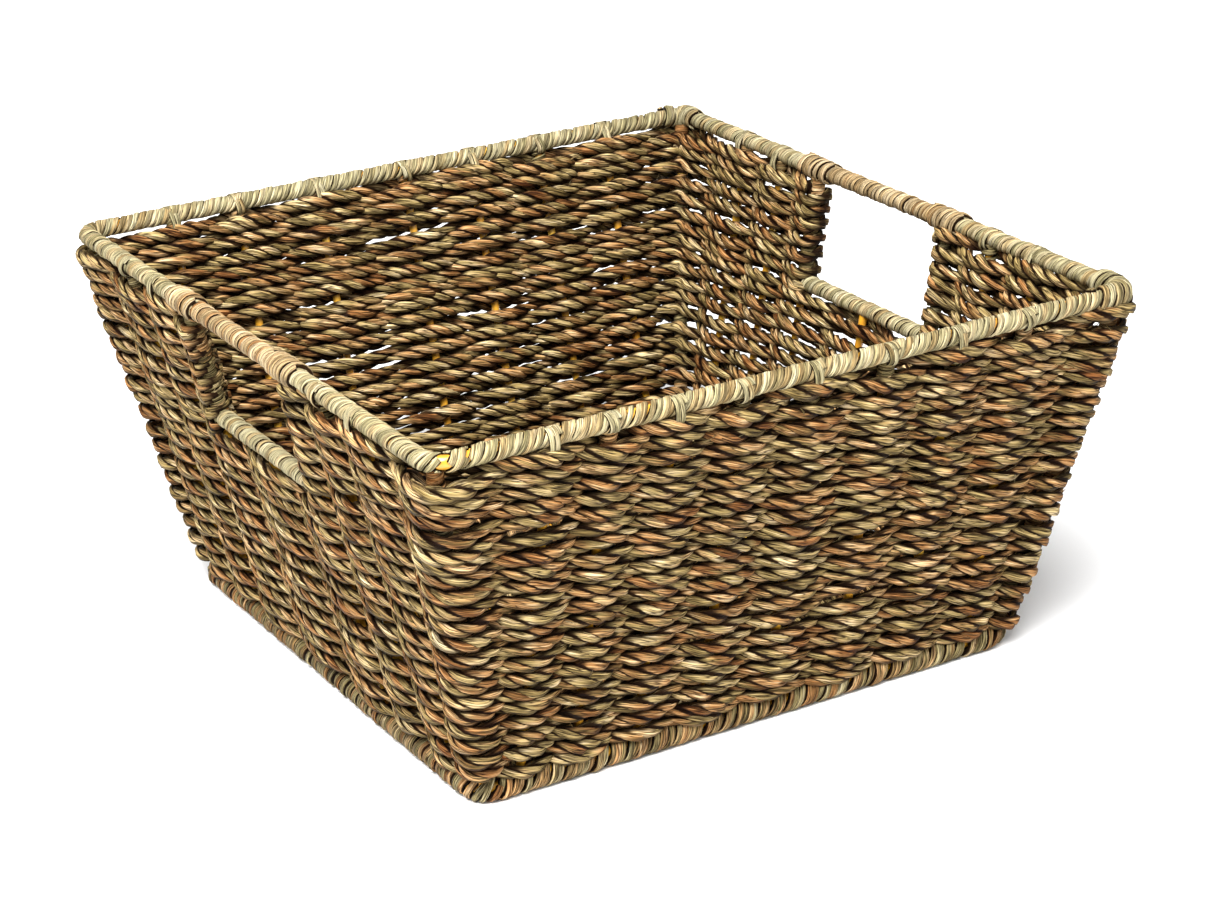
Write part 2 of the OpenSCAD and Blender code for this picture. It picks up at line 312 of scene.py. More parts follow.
def build(name, strands, material):
    """One mesh of many closed tubes."""
    corners, starts = faces_of(strands)
    points = np.concatenate([strand["rings"].reshape(-1, 3) for strand in strands])
    mesh = bpy.data.meshes.new(name)
    mesh.vertices.add(len(points))
    mesh.vertices.foreach_set("co", points.ravel())
    mesh.loops.add(len(corners))
    mesh.loops.foreach_set("vertex_index", corners.astype(np.int32))
    mesh.polygons.add(len(starts))
    mesh.polygons.foreach_set("loop_start", starts.astype(np.int32))
    mesh.update(calc_edges=True)
    for key, kind, field in ATTRIBUTES:
        values = np.concatenate([strand[key].ravel() for strand in strands])
        mesh.attributes.new(key, kind, "POINT").data.foreach_set(field, values.astype(np.float32))
    mesh.shade_smooth()
    crease_leaves(mesh, strands)
    mesh.materials.append(material)
    piece = bpy.data.objects.new(name, mesh)
    bpy.context.scene.collection.objects.link(piece)
    return piece


def place(piece, slot, *nodes):
    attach(piece, "root")
    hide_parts(*nodes)


# ---- Twisted rope ----

# What drifts along a rope: over what length, and between which shares or angles.
LEAD_DRIFT = (70 * MM, 0.8, 1.25)
TURN_DRIFT = (25 * MM, -0.4, 0.4)
SLOW_THICKNESS = (60 * MM, 0.94, 1.06)
QUICK_THICKNESS = (7 * MM, 0.8, 1.2)

# Between which places, in rope radii, a ply comes out of the painted shade: out of the panel, out
# of the middle of its rope and out of the painted shade of its own underside.
OUT_OF_PANEL = (0.1, 0.9)
OUT_OF_ROPE = (0.1, 0.6)
OUT_OF_SHADE = (-1.1, -0.1)
# How much painted light is left where a rope lies deepest in the panel.
CROSSING_PAINTED_LIGHT = 0.15


def ply_painted_light(ply, p, up, normal, swing, reach, painted_underside_shade):
    """How much painted light each point of a ply keeps, from 0 to 1. The rope lies open on the
    faces of the panel, and in a hollow between them; painted shade darkens that hollow, the middle
    of the rope where it meets the courses beside it, and the rope's underside."""
    offset = ply["rings"] - p[:, None]
    depth = (offset * normal[:, None]).sum(-1) / reach
    height = (offset * up[:, None]).sum(-1) / reach
    # Painted shade deep in the panel, at the rope's top and bottom where it meets the courses
    # beside it, and on its underside.
    face = smooth(np.abs(swing[:, None] / reach + depth), *OUT_OF_PANEL)
    face = CROSSING_PAINTED_LIGHT + (1 - CROSSING_PAINTED_LIGHT) * face
    under = 1 - painted_underside_shade + painted_underside_shade * smooth(height, *OUT_OF_SHADE)
    return face * smooth(np.abs(depth), *OUT_OF_ROPE) * under


def rope(
    points, upward, normal, swing, tall, wide, *, lead, count, ply_r, spread, step, sides, painted_underside_shade
):
    """The plies of a rope that follows a path and swings from face to face of a woven panel.
    upward and normal are the panel's own directions, and tall and wide scale the rope along them.
    spread is how far a ply lies from the middle of the rope, and painted_underside_shade is how
    dark the painted shade on the rope's underside is."""
    s, p, up, normal, swing, tall, wide = resample(step, points, upward, normal, swing, tall, wide)
    along = unit(np.gradient(p, axis=0))
    up = unit(up - (up * along).sum(1, keepdims=True) * along)
    high, deep = up * tall[:, None], np.cross(along, up) * wide[:, None]
    twist = 2 * math.pi * running_total(s, 1 / (lead * drift(s, *LEAD_DRIFT)))
    plies = []
    for start in 2 * math.pi * np.arange(count) / count:
        turn = twist + start + drift(s, *TURN_DRIFT)
        centre = p + spread * (np.cos(turn)[:, None] * high + np.sin(turn)[:, None] * deep)
        radius = ply_r * drift(s, *SLOW_THICKNESS) * drift(s, *QUICK_THICKNESS)
        ply = tube(centre, high, deep, radius, radius, s, sides, facing=turn)
        # Painted shade in the mesh: dark in the middle of the panel, between courses and on the
        # underside.
        ply["open"] *= ply_painted_light(ply, p, up, normal, swing, ply_r + spread, painted_underside_shade)
        plies.append(ply)
    return plies


# ---- The woven walls ----

COURSES = 41
LOWER_COURSES = 25
TOP_COURSES = 2
FIRST_Z = WEAVE_LOW + 1.6 * MM
LAST_Z = WEAVE_HIGH - 0.8 * MM
LOW_PITCH_SHARE = 1.09
FOOT_SHARE = 0.3
SAG = 2.2 * MM
SAG_COURSES = 4
COURSE_JITTER = (1, -0.8 * MM, 0.8 * MM)
SWING = 4.7 * MM
SWING_DRIFT = (1, 0.85, 1.1)
EDGE_SWING = 4.2 * MM
EDGE_SAMPLES = 10
TOP_LOOSE = 1.2
FRONT_LIFT = 1.6 * MM
CORNER_BULGE = 2.4 * MM
CORNER_REACH = 0.8
BAY_SAMPLES = 14
BETWEEN_TALL = (BAY_SAMPLES / 4, 0.84, 1.18)
UPRIGHT_TALL = 1.5
BETWEEN_WIDE = 1.1
UPRIGHT_WIDE = 1.0
PLY_R = 1.5 * MM
WALL_ROPE = {
    "lead": 28 * MM,
    "count": 3,
    "ply_r": PLY_R,
    "spread": 1.2 * MM,
    "step": 1.7 * MM,
    "sides": 8,
    # How dark the painted shade on the rope's underside is.
    "painted_underside_shade": 0.75,
}

LOWER_NODES = ("left_lower_weave", "right_lower_weave", "front_weave", "back_weave")
FRONT_NODES = (
    "left_front_weave",
    "right_front_weave",
    "front_weave",
    "front_left_weave_corner",
    "front_right_weave_corner",
)
BACK_NODES = (
    "left_back_weave",
    "right_back_weave",
    "back_weave",
    "back_left_weave_corner",
    "back_right_weave_corner",
)


def course_z(k):
    """Height of a course: the courses are packed tighter towards the rim."""
    part = k / (COURSES - 1)
    share = LOW_PITCH_SHARE * part - (LOW_PITCH_SHARE - 1) * part**2
    return FIRST_Z + (LAST_Z - FIRST_Z) * share


def sag_table():
    """Slow unevenness of the courses, for every few courses and each column. It fades out at the
    foot and halves at the rim."""
    table = rng.uniform(-1, 1, (COURSES // SAG_COURSES + 3, ROUND))
    rows = np.arange(len(table))
    fade = np.minimum(1, rows / 2) * np.where(rows * SAG_COURSES > COURSES - 5, 0.5, 1)
    return SAG * table * fade[:, None]


SAG_TABLE = sag_table()


def sag(column, k):
    row = np.clip(k / SAG_COURSES, 0, len(SAG_TABLE) - 2)
    i, j = row.astype(int), np.floor(column).astype(int)
    a, b = ease(row - i), ease(column - j)
    here, beyond = j % ROUND, (j + 1) % ROUND
    low = SAG_TABLE[i, here] * (1 - b) + SAG_TABLE[i, beyond] * b
    high = SAG_TABLE[i + 1, here] * (1 - b) + SAG_TABLE[i + 1, beyond] * b
    return low * (1 - a) + high * a


def corner_columns():
    """Columns of the corner posts: front right, back right, back left and front left."""
    front_right = len(FRONT_PLACES)
    back_right = front_right + len(SIDE_PLACES) + 1
    back_left = back_right + len(BACK_PLACES) + 1
    return front_right, back_right, back_left, ROUND - 1


def edge_columns():
    """Columns of the edge uprights: right front, right back, left back and left front."""
    front_right, _, back_left, _ = corner_columns()
    before, after = SIDE_PLACES.index(SILL_PLACE), SIDE_PLACES.index(SILL_PLACE) + 2
    return front_right + before, front_right + after, back_left + before, back_left + after


CORNERS = corner_columns()


def weave_path(s, z, swing, column):
    """Points of a rope that runs round the outline at heights z, swung in and out of the wall. It
    bulges where it passes outside a corner post."""
    off = [np.abs((column - c + ROUND / 2) % ROUND - ROUND / 2) for c in CORNERS]
    near = np.clip(1 - np.min(off, axis=0) / CORNER_REACH, 0, 1)
    swing = swing + CORNER_BULGE * near * np.clip(swing / SWING, 0, 1)
    point, normal, upward = outline(s, z)
    return point + normal * swing[:, None], upward, normal, swing


def squeeze(swing):
    """How tall and wide a rope is: flattest where it crosses between two uprights and tallest on an
    upright."""
    near = np.minimum(1, np.abs(swing) / SWING)
    between = drift(np.arange(len(swing)) * 1.0, *BETWEEN_TALL)
    tall = between + (UPRIGHT_TALL - between) * near**1.5
    return tall, BETWEEN_WIDE - (BETWEEN_WIDE - UPRIGHT_WIDE) * near


def lower_rope():
    """One rope wound round and round, from the foot of the walls to the sills. Its first two rounds
    lie close together."""
    samples = (LOWER_COURSES + 1) * ROUND * BAY_SAMPLES + 1
    column = np.linspace(-ROUND, LOWER_COURSES * ROUND, samples)
    k = column / ROUND
    passed = column + ROUND
    z = course_z(np.maximum(k, FOOT_SHARE * k)) + sag(column, k) + drift(passed, *COURSE_JITTER)
    swing = SWING * np.cos(math.pi * column) * drift(passed, *SWING_DRIFT)
    path = weave_path(along_outline(column, z), z, swing, column)
    return rope(*path, *squeeze(swing), **WALL_ROPE)


def course(k, first, last, lift):
    """Places along one course between two edge uprights: distance round, height, swing, column and
    looseness."""
    span = last - first
    column = np.linspace(first, last, span * BAY_SAMPLES + 1)
    if (k - LOWER_COURSES) % 2:
        column = column[::-1]
    passed = np.linspace(0, span, len(column))
    level = np.full(len(column), float(k))
    z = course_z(level) + sag(column, level) + drift(passed, *COURSE_JITTER)
    z = z + (lift if k == COURSES - 1 else 0)
    swing = SWING * np.cos(math.pi * (column + k)) * drift(passed, *SWING_DRIFT)
    loose = np.full(len(column), TOP_LOOSE if k >= COURSES - TOP_COURSES else 1.0)
    return np.stack([along_outline(column, z), z, swing, column, loose])


def edge_turn(end, k):
    """The half turn round an edge upright, from the end of a course up to the next course."""
    s, z, swing, column, loose = end
    angle = np.linspace(0, math.pi, EDGE_SAMPLES + 2)[1:-1]
    reach = EDGE_SWING * np.sin(angle) * (-1 if (k - LOWER_COURSES) % 2 else 1)
    rise = (course_z(k + 1.0) - course_z(float(k))) * angle / math.pi
    same = np.ones(len(angle))
    return np.stack([s + reach, z + rise, swing * np.cos(angle), column * same, loose * same])


def upper_rope(first, last, lift):
    """One rope that goes to and fro between the edges of the two hand openings, turning back round
    the edge uprights. lift raises its last course towards the rim."""
    parts = []
    for k in range(LOWER_COURSES, COURSES):
        parts.append(course(k, first, last, lift))
        if k + 1 < COURSES:
            parts.append(edge_turn(parts[-1][:, -1], k))
    s, z, swing, column, loose = np.concatenate(parts, axis=1)
    tall, wide = squeeze(swing)
    return rope(*weave_path(s, z, swing, column), tall * loose, wide * loose, **WALL_ROPE)


def in_pieces(plies, name, count, material, nodes):
    """A long rope as a few pieces that meet end to end. Returns its plies."""
    last = len(plies[0]["rings"]) - 1
    ends = np.linspace(0, last, count + 1).round().astype(int)
    for i in range(count):
        piece = build(f"{name}_{i + 1}", [cut(p, ends[i], ends[i + 1]) for p in plies], material)
        place(piece, "rope_seagrass", *nodes)
    return plies


def weave_walls(material):
    """The lower rope and the upper ropes, in front of and behind the openings. Returns each ply."""
    right_front, right_back, left_back, left_front = edge_columns()
    plies = in_pieces(lower_rope(), "lower_weave", 6, material, LOWER_NODES)
    front = upper_rope(left_front - ROUND, right_front, FRONT_LIFT)
    plies += in_pieces(front, "front_upper_weave", 2, material, FRONT_NODES)
    back = upper_rope(right_back, left_back, 0)
    plies += in_pieces(back, "back_upper_weave", 2, material, BACK_NODES)
    return plies


# ---- The woven floor ----

FLOOR_ROPE = {
    "lead": 26 * MM,
    "count": 3,
    "ply_r": 1.4 * MM,
    "spread": 1.1 * MM,
    "step": 2.0 * MM,
    "sides": 6,
    # No painted shade under the floor ropes.
    "painted_underside_shade": 0,
}
FLOOR_PITCH = 4.5 * MM
FLOOR_SWING = 2.7 * MM
FLOOR_MARGIN = 3 * MM
FLOOR_SAMPLES = 200
FLOOR_JITTER = (30 * MM, -0.6 * MM, 0.6 * MM)
FLOOR_TALL = 1.12
ON_WIRE_TALL = 0.6
FLOOR_WIDE = 0.95


def floor_row(x, half_y, parity):
    """One rope from front to back, over and under the floor wires."""
    y = np.linspace(-half_y, half_y, FLOOR_SAMPLES)
    wires = np.array([-half_y] + FLOOR_PLACES + [half_y])
    phase = np.interp(y, wires, np.arange(len(wires)))
    swing = FLOOR_SWING * np.cos(math.pi * (phase + parity))
    points = np.stack([x + drift(y - y[0], *FLOOR_JITTER), y, BASE_Z + swing], -1)
    upward = np.tile([1.0, 0, 0], (len(y), 1))
    normal = np.tile([0, 0, 1.0], (len(y), 1))
    tall = FLOOR_TALL + ON_WIRE_TALL * (np.abs(swing) / FLOOR_SWING) ** 1.5
    return rope(points, upward, normal, swing, tall, np.full(len(y), FLOOR_WIDE), **FLOOR_ROPE)


def weave_floor(material):
    half_x = BASE_X - BASE_WIRE_R - FLOOR_MARGIN
    half_y = BASE_Y - BASE_WIRE_R - FLOOR_MARGIN
    rows = int(2 * half_x / FLOOR_PITCH)
    plies = []
    for i in range(rows):
        plies += floor_row(-half_x + (i + 0.5) * 2 * half_x / rows, half_y, i)
    half = len(plies) // 2
    for name, part in (("left_floor_weave", plies[:half]), ("right_floor_weave", plies[half:])):
        place(build(name, part, material), "rope_seagrass", "floor_weave")


# ---- Strands wound on the wires ----

AXIS_STEP = 0.5 * MM
LAP_SAMPLES = 18
WOUND_SIDES = 8
WOUND_LUMP = 0.08
WOUND_PATCH = 50 * MM
# What drifts along a wound strand, by laps.
SLIP_LAPS = 0.7
QUICK_REACH = (0.45, 0.92, 1.09)
SLOW_REACH = (3, 0.96, 1.05)
WIDTH_DRIFT = (0.8, 0.78, 1.25)

# A winding's strands: half their thickness, half their width, how many lie side by side, the pitch
# between them, and how far they slip along the wire, as a share of their width.
RIM_STRANDS = (1.6 * MM, 1.768 * MM, 4, 3.4 * MM, 0.4)
GRIP_STRANDS = (1.4 * MM, 1.6 * MM, 3, 3.0 * MM, 0.4)
BINDING_STRANDS = (1.5 * MM, 1.8 * MM, 3, 3.4 * MM, 0.6)
CORNER_STRANDS = (1.4 * MM, 1.9 * MM, 3, 3.7 * MM, 0.9)
SILL_STRANDS = (1.5 * MM, 1.9 * MM, 3, 3.6 * MM, 0.4)
UPRIGHT_STRANDS = (0.9 * MM, 1.7 * MM, 1, 2.8 * MM, 0.4)
BORDER_STRANDS = (1.7 * MM, 1.65 * MM, 4, 3.1 * MM, 1.0)

RIM_CORE_R = RIM_WRAP_R - 1.44 * MM
GRIP_CORE_R = GRIP_R - 1.3 * MM
BINDING_CORE_R = BINDING_R - 1.1 * MM
CORNER_CORE_R = RIM_WRAP_R + 0.4 * MM
SILL_CORE_R = SILL_R - 1.1 * MM
UPRIGHT_CORE_R = STAKE_R + 0.9 * MM
BORDER_CORE_R = BORDER_R - 1.7 * MM

# Where the rim's winding stops and starts again: distances from the middle of the front left bend.
PARTED = (2.5 * MM, 5.5 * MM, 13 * MM, 13.5 * MM)
RIGHT_CORNER_HALF = 17 * MM
FAR_CORNER_HALF = 13 * MM
BARE_TOP = 9 * MM

RIM_NODES = (
    "front_rim_wrap",
    "back_rim_wrap",
    "left_front_rim_wrap",
    "left_back_rim_wrap",
    "right_front_rim_wrap",
    "right_back_rim_wrap",
    "corner_rim_wraps",
)
BORDER_NODES = (
    "front_base_wrap",
    "back_base_wrap",
    "left_base_wrap",
    "right_base_wrap",
    "corner_base_wraps",
)


def ring_axis(half_x, half_y, z, first, last):
    """The rim's or the base's wire between two distances round it: distances, points, outward and
    upward directions."""
    s = np.arange(first, last, AXIS_STEP)
    same = np.ones(len(s))
    x, y, angle = rounded_rectangle(s, (half_x - BEND_R) * same, (half_y - BEND_R) * same)
    out = np.stack([np.cos(angle), np.sin(angle), 0 * angle], -1)
    return s, np.stack([x, y, z * same], -1), out, np.tile([0.0, 0, 1], (len(s), 1))


def rim_axis(first, last):
    return ring_axis(RIM_X, RIM_Y, RIM_Z, first, last)


def wound(axis, radius, half_thick, half_wide, lead, start, wobble):
    """One flat strand wound round an axis, which starts at an angle from the upward direction."""
    s, *lines = axis
    length = s[-1] - s[0]
    fine = np.linspace(0, len(s) - 1, max(8, int(length / lead * LAP_SAMPLES)))
    at = np.arange(len(s))
    points, out, up = [np.stack([np.interp(fine, at, c) for c in a.T], -1) for a in lines]
    lap = np.interp(fine, at, s - s[0]) / lead
    turn = start - 2 * math.pi * lap
    along = unit(np.gradient(points, axis=0))
    slip = drift(lap, SLIP_LAPS, -wobble, wobble) * half_wide
    radial = np.cos(turn)[:, None] * up + np.sin(turn)[:, None] * out
    reach = radius * drift(lap, *QUICK_REACH) * drift(lap, *SLOW_REACH)
    centre = points + radial * reach[:, None] + along * slip[:, None]
    across = unit(np.cross(unit(np.gradient(centre, axis=0)), radial))
    width = half_wide * drift(lap, *WIDTH_DRIFT)
    s = distance_along(centre)
    return tube(centre, radial, across, half_thick, width, s, WOUND_SIDES, WOUND_LUMP, WOUND_PATCH)


def layer(axis, radius, half_thick, half_wide, strands, pitch, wobble):
    """Strands wound side by side, turn against turn."""
    starts = [2 * math.pi * i / strands for i in range(strands)]
    lead = strands * pitch
    return [wound(axis, radius, half_thick, half_wide, lead, a, wobble) for a in starts]


def rim_distance(side, along):
    """Distance round the rim of a place on the right wall (side 1) or the left wall (side -1),
    given by its y."""
    hx, hy = RIM_X - BEND_R, RIM_Y - BEND_R
    if side > 0:
        return 2 * hx + ARC + hy + along
    return 4 * hx + 3 * ARC + 2 * hy + hy - along


def wind_rim(material):
    """The rim's winding, between the two grips and the gaps near the front left corner."""
    total = 4 * (RIM_X + RIM_Y - 2 * BEND_R) + 4 * ARC
    corner = -ARC / 2
    gap = [corner + p for p in PARTED]
    runs = [
        (gap[1], gap[2]),
        (gap[3], rim_distance(1, -GRIP_HALF)),
        (rim_distance(1, GRIP_HALF), rim_distance(-1, GRIP_HALF)),
        (rim_distance(-1, -GRIP_HALF), gap[0] + total),
    ]
    strands = []
    for run in runs:
        strands += layer(rim_axis(*run), RIM_CORE_R, *RIM_STRANDS)
    place(build("rim_winding", strands, material), "rim_seagrass", *RIM_NODES)


def wind_grips(material):
    """The grips over the hand openings, and a thicker binding at each end of them."""
    strands = []
    for side in (1, -1):
        run = rim_distance(side, -side * GRIP_HALF), rim_distance(side, side * GRIP_HALF)
        strands += layer(rim_axis(*run), GRIP_CORE_R, *GRIP_STRANDS)
    grips = build("grip_winding", strands, material)
    place(grips, "grip_seagrass", "left_grip_wrap", "right_grip_wrap")
    strands = []
    for side in (1, -1):
        for end in (-1, 1):
            run = sorted(rim_distance(side, end * y) for y in (GRIP_HALF, BINDING_END))
            strands += layer(rim_axis(*run), BINDING_CORE_R, *BINDING_STRANDS)
    bindings = build("grip_bindings", strands, material)
    place(bindings, "grip_seagrass", "left_grip_bindings", "right_grip_bindings")


def wind_corners(material):
    """Second windings, thick and crossed, on the right and far corners of the rim."""
    right = 2 * (RIM_X - BEND_R) + ARC / 2
    far = right + 2 * (RIM_Y - BEND_R) + ARC
    strands = []
    for corner, half in ((right, RIGHT_CORNER_HALF), (far, FAR_CORNER_HALF)):
        strands += layer(rim_axis(corner - half, corner + half), CORNER_CORE_R, *CORNER_STRANDS)
    place(build("rim_corner_winding", strands, material), "rim_seagrass", "corner_rim_wraps")


def wind_sills(material):
    strands = []
    y = np.arange(-EDGE_Y, EDGE_Y, AXIS_STEP)
    out, up = np.tile([1.0, 0, 0], (len(y), 1)), np.tile([0.0, 0, 1], (len(y), 1))
    for side in (1, -1):
        points = np.stack([np.full(len(y), side * SILL_X), y, np.full(len(y), SILL_Z)], -1)
        strands += layer((y, points, out, up), SILL_CORE_R, *SILL_STRANDS)
    sills = build("sill_winding", strands, material)
    place(sills, "rim_seagrass", "left_sill_wrap", "right_sill_wrap")


def wind_uprights(material):
    """Strands wound on what the weave leaves bare: the corner posts, the uprights beside the
    openings, and the tops of the others. The sill uprights have no bare top."""
    bare_from = {column: WEAVE_HIGH - BARE_TOP for column in range(ROUND)}
    bare_from.update({column: WEAVE_LOW for column in CORNERS})
    bare_from.update({column: SILL_Z for column in edge_columns()})
    for before_sill in edge_columns()[::2]:
        del bare_from[before_sill + 1]
    strands = []
    for column, low in bare_from.items():
        z = np.arange(low, RIM_Z - RIM_WRAP_R / 2, AXIS_STEP)
        points, normal, upward = outline(along_outline(np.full(len(z), float(column)), z), z)
        axis = (distance_along(points), points, normal, np.cross(upward, normal))
        strands += layer(axis, UPRIGHT_CORE_R, *UPRIGHT_STRANDS)
    place(build("upright_winding", strands, material), "rope_seagrass")


def wind_border(material):
    """The border: rough strands wound on the base wire, flat against the ground."""
    total = 4 * (BASE_X + BASE_Y - 2 * BEND_R) + 4 * ARC
    axis = ring_axis(BASE_X, BASE_Y, BASE_Z, 0, total)
    strands = layer(axis, BORDER_CORE_R, *BORDER_STRANDS)
    for strand in strands:
        strand["rings"][..., Z] = np.maximum(strand["rings"][..., Z], 0)
    place(build("border_winding", strands, material), "border_seagrass", *BORDER_NODES)


# ---- Ties from the rim down to the weave ----

# How far below the rim a tie hangs, in turn along a row.
TIE_DROPS = ((5 * MM, 9 * MM), (0, 2.5 * MM))
TIE_TURNS = 1.15
TIE_SAMPLES = 46
TIE_R = RIM_WRAP_R - 0.3 * MM
TIE_LOW_SPREAD = 2.6 * MM
TIE_SLANT = 1.2 * MM
TIE_SHIFT = 1.2 * MM
TIE_HALF_THICK = 0.7 * MM
TIE_HALF_WIDE = 1.3 * MM
TIE_SIDES = 8


def tie(x, y, angle, drop):
    """A strand that loops over the rim and under the top courses, at a place on the rim whose
    outward direction is at an angle."""
    turn = np.linspace(0, 2 * math.pi * TIE_TURNS, TIE_SAMPLES)
    out = np.array([math.cos(angle), math.sin(angle), 0])
    lean = abs(out[0]) * LEAN_X + abs(out[1]) * LEAN_Y
    down = unit(np.array([-out[0] * lean, -out[1] * lean, -1.0]))
    side = np.array([-out[1], out[0], 0])
    low = 0.5 - 0.5 * np.cos(turn)
    across = np.sin(turn) * (TIE_R + TIE_LOW_SPREAD * low)
    height = np.cos(turn) * TIE_R - drop * low**1.5
    slant = np.linspace(-TIE_SLANT, TIE_SLANT, len(turn))
    centre = np.array([x, y, RIM_Z]) + across[:, None] * out - height[:, None] * down
    centre = centre + slant[:, None] * side
    run = unit(np.gradient(centre, axis=0))
    face = unit(np.cross(run, side))
    s = distance_along(centre)
    return tube(centre, face, np.cross(run, face), TIE_HALF_THICK, TIE_HALF_WIDE, s, TIE_SIDES)


def tie_row(spots, place_of, angle, name, material):
    """Pairs of ties over one wall's uprights. place_of gives x and y of a spot along the rim."""
    strands = []
    for i, spot in enumerate(spots):
        for shift in (-TIE_SHIFT, TIE_SHIFT):
            x, y = place_of(spot + shift)
            strands.append(tie(x, y, angle, rng.uniform(*TIE_DROPS[i % 2])))
    return build(name, strands, material)


def tie_rim(material):
    front, back, right, left = -math.pi / 2, math.pi / 2, 0.0, math.pi
    outer = [y for y in TALL_SIDE_PLACES if abs(y) > EDGE_Y + STAKE_GAP]
    rows = (
        (FRONT_PLACES, lambda u: (u, -RIM_Y), front, "front"),
        (BACK_PLACES, lambda u: (u, RIM_Y), back, "back"),
        (outer, lambda u: (RIM_X, u), right, "right"),
        (outer, lambda u: (-RIM_X, u), left, "left"),
    )
    for spots, place_of, angle, wall in rows:
        row = tie_row(spots, place_of, angle, f"{wall}_ties", material)
        place(row, "rim_seagrass", f"{wall}_rim_ties")


# ---- Loose fibre ends ----

FRAYED_SAMPLES = 7
FRAYED_SIDES = 5
FRAYED_ROOT = 0.8 * PLY_R
FRAYED_LIFT = (0.2, 1.1)
FRAYED_SCATTER = 0.25
FRAYED_BEND = 0.3
FRAYED_TAPER = 1.15
FRAYED_FLATNESS = 0.4
FIBRES = {"count": 700, "length": (3, 8), "width": (0.12, 0.3)}
LEAF_ENDS = {"count": 420, "length": (2, 6), "width": (0.4, 0.9)}


def frayed(strands, count, length, width):
    """Short fibres that come away from the outside of the ropes, each starting inside its rope.
    length and width are ranges in millimetres."""
    ends = []
    for _ in range(count):
        rings = strands[rng.integers(len(strands))]["rings"]
        i = rng.integers(2, len(rings) - 2)
        core = rings[i].mean(0)
        out = unit(rings[i, rng.integers(-1, 2)] - core)
        along = unit(rings[i + 1].mean(0) - rings[i - 1].mean(0)) * rng.choice([-1, 1])
        aim = along + out * rng.uniform(*FRAYED_LIFT) + rng.normal(0, FRAYED_SCATTER, 3)
        t = np.linspace(0, 1, FRAYED_SAMPLES)[:, None]
        reach = rng.uniform(*length) * MM
        bend = rng.normal(0, FRAYED_BEND, 3)
        path = core + out * FRAYED_ROOT + reach * (unit(aim) * t + bend * t**2)
        run = unit(np.gradient(path, axis=0))
        flat = unit(np.cross(run, out))
        wide = rng.uniform(*width) * MM * (FRAYED_TAPER - t[:, 0])
        thick = wide * FRAYED_FLATNESS
        face = np.cross(flat, run)
        s = distance_along(path)
        ends.append(tube(path, face, np.cross(run, face), thick, wide, s, FRAYED_SIDES, 0))
    return ends


def fray(plies, fibre_material, leaf_material):
    fibres = build("loose_fibres", frayed(plies, **FIBRES), fibre_material)
    place(fibres, "rope_seagrass")
    leaf_ends = build("leaf_ends", frayed(plies, **LEAF_ENDS), leaf_material)
    place(leaf_ends, "rope_seagrass")


# ---- Materials ----


class Graph:
    """A material's nodes, with short ways to add and join them."""

    def __init__(self, name):
        self.material = bpy.data.materials.new(name)
        self.material.use_nodes = True
        self.nodes, self.links = self.material.node_tree.nodes, self.material.node_tree.links
        self.shader = self.nodes["Principled BSDF"]

    def add(self, kind, **settings):
        node = self.nodes.new(kind)
        for key, value in settings.items():
            setattr(node, key, value)
        return node

    def give(self, socket, value):
        """Links a node's output to a socket, or sets the socket to a fixed value."""
        if isinstance(value, bpy.types.NodeSocket):
            self.links.new(value, socket)
        else:
            socket.default_value = value

    def maths(self, operation, *values, clamp=False):
        node = self.add("ShaderNodeMath", operation=operation, use_clamp=clamp)
        for socket, value in zip(node.inputs, values):
            self.give(socket, value)
        return node.outputs[0]

    def attribute(self, name, output="Fac"):
        return self.add("ShaderNodeAttribute", attribute_name=name).outputs[output]

    def noise(self, place, scale, **settings):
        node = self.add("ShaderNodeTexNoise")
        self.give(node.inputs["Vector"], place)
        self.give(node.inputs["Scale"], scale)
        for key, value in settings.items():
            self.give(node.inputs[key], value)
        return node.outputs["Fac"]

    def ramp(self, factor, stops):
        node = self.add("ShaderNodeValToRGB")
        elements = node.color_ramp.elements
        for element, (position, color) in zip(elements, (stops[0], stops[-1])):
            element.position, element.color = position, (*color, 1)
        for position, color in stops[1:-1]:
            elements.new(position).color = (*color, 1)
        self.give(node.inputs["Fac"], factor)
        return node.outputs["Color"]

    def mix(self, factor, a, b, blend="MIX"):
        node = self.add("ShaderNodeMix", data_type="RGBA", blend_type=blend)
        self.give(node.inputs["Factor"], factor)
        self.give(node.inputs[6], a)
        self.give(node.inputs[7], b)
        return node.outputs[2]


# Noise along a strand: changes a metre along it, changes round it, and detail.
LEAF_STREAKS = (60, 1.4, 1)
FIBRE_STREAKS = (120, 4.5, 3)
CREASE_STREAKS = (75, 2.3, 1)
EDGE_STREAKS = (260, 1.0, 2)
# How sharp the crease lines are; then the painted shade: how sharp and ragged its edge is, how
# steeply it darkens and the dark brown it darkens towards.
CREASE_SHARPNESS = 11
EDGE_SHARPNESS = 4.5
EDGE_RAGGEDNESS = 0.7
PAINTED_SHADE_POWER = 1.3
PAINTED_SHADE_TINT = (0.028, 0.016, 0.008, 1)
LIGHT_FROM_TONE = 0.7
LIGHT_FROM_FIBRE = 1.3
LIGHT_OFFSET = 1.0
REDDISH_SHARPNESS = 2.5
ROUGH_FROM_FIBRE = 0.3
GLOSS = 0.06
FIBRE_HEIGHT = 0.6 * MM
CREASE_HEIGHT = 0.45

# How far round a strand, as a cosine from its open side, the painted shade of the hollow beside it
# begins.
PLY_VALLEY = -0.06
TURN_VALLEY = 0.4


def streaks(graph, along, around, detail):
    scale = graph.add("ShaderNodeVectorMath", operation="MULTIPLY")
    graph.give(scale.inputs[0], graph.attribute("grain", "Vector"))
    graph.give(scale.inputs[1], (along, around, around))
    return graph.noise(scale.outputs["Vector"], 1, Detail=detail)


